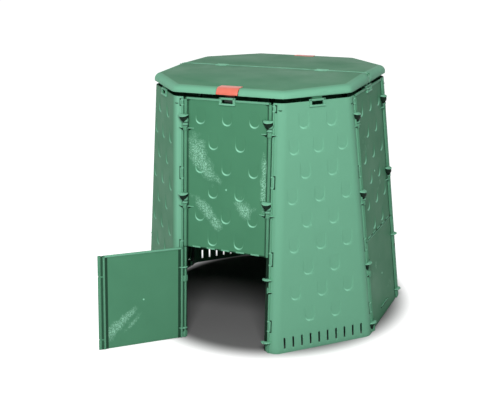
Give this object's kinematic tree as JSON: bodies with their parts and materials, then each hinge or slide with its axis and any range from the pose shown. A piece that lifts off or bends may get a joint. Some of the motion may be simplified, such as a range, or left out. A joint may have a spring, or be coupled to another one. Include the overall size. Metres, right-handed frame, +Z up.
{
  "type": "compost bin",
  "caption": "Eight-sided green plastic compost bin with leaning panels clipped on rods, a low hinged door in each long side and a split hinged lid with sliding latches.",
  "frame": {"origin": "on the ground under the middle of the eight-sided wall", "axes": "+Z up, -Y towards the front door that stands open, +X to the right seen from the front"},
  "size_m": [1.0446, 1.2992, 1.015],
  "materials": {
    "green_polypropylene": "moulded, slightly glossy, scuffed",
    "red_polypropylene": "moulded, glossy",
    "steel_pin": "drawn wire"
  },
  "bodies": {
    "walls": {"corner_panel_front_right": "green_polypropylene", "corner_panel_back_right": "green_polypropylene", "corner_panel_back_left": "green_polypropylene", "corner_panel_front_left": "green_polypropylene", "upper_panel_front": "green_polypropylene", "upper_panel_right": "green_polypropylene", "upper_panel_back": "green_polypropylene", "upper_panel_left": "green_polypropylene", "centre_bar": "green_polypropylene", "lid_hinge_pin_front_left": "steel_pin", "lid_hinge_pin_front_right": "steel_pin", "lid_hinge_pin_rear_left": "steel_pin", "lid_hinge_pin_rear_right": "steel_pin"},
    "front_door": {"door_front": "green_polypropylene"},
    "right_door": {"door_right": "green_polypropylene"},
    "back_door": {"door_back": "green_polypropylene"},
    "left_door": {"door_left": "green_polypropylene"},
    "front_lid": {"lid_front": "green_polypropylene"},
    "rear_lid": {"lid_rear": "green_polypropylene"},
    "front_latch": {"latch_front": "red_polypropylene"},
    "rear_latch": {"latch_rear": "red_polypropylene"}
  },
  "joints": [
    {"name": "front_door_hinge", "type": "hinge", "parent": "walls", "child": "front_door", "pos_m": [-0.174, -0.506, 0], "axis": [0, -0.0959, -0.9954], "range_deg": [-130, 20]},
    {"name": "right_door_hinge", "type": "hinge", "parent": "walls", "child": "right_door", "pos_m": [0.506, -0.174, 0], "axis": [0.0959, 0, -0.9954], "range_deg": [0, 150]},
    {"name": "back_door_hinge", "type": "hinge", "parent": "walls", "child": "back_door", "pos_m": [0.174, 0.506, 0], "axis": [0, 0.0959, -0.9954], "range_deg": [0, 150]},
    {"name": "left_door_hinge", "type": "hinge", "parent": "walls", "child": "left_door", "pos_m": [-0.506, 0.174, 0], "axis": [-0.0959, 0, -0.9954], "range_deg": [0, 150]},
    {"name": "front_lid_hinge", "type": "hinge", "parent": "walls", "child": "front_lid", "pos_m": [0, -0.011, 1.009], "axis": [-1, 0, 0], "range_deg": [0, 88]},
    {"name": "rear_lid_hinge", "type": "hinge", "parent": "walls", "child": "rear_lid", "pos_m": [0, 0.011, 1.009], "axis": [1, 0, 0], "range_deg": [0, 88]},
    {"name": "front_latch_slide", "type": "slide", "parent": "front_lid", "child": "front_latch", "axis": [0, -1, 0], "range_m": [0, 0.014]},
    {"name": "rear_latch_slide", "type": "slide", "parent": "rear_lid", "child": "rear_latch", "axis": [0, 1, 0], "range_m": [0, 0.014]}
  ]
}
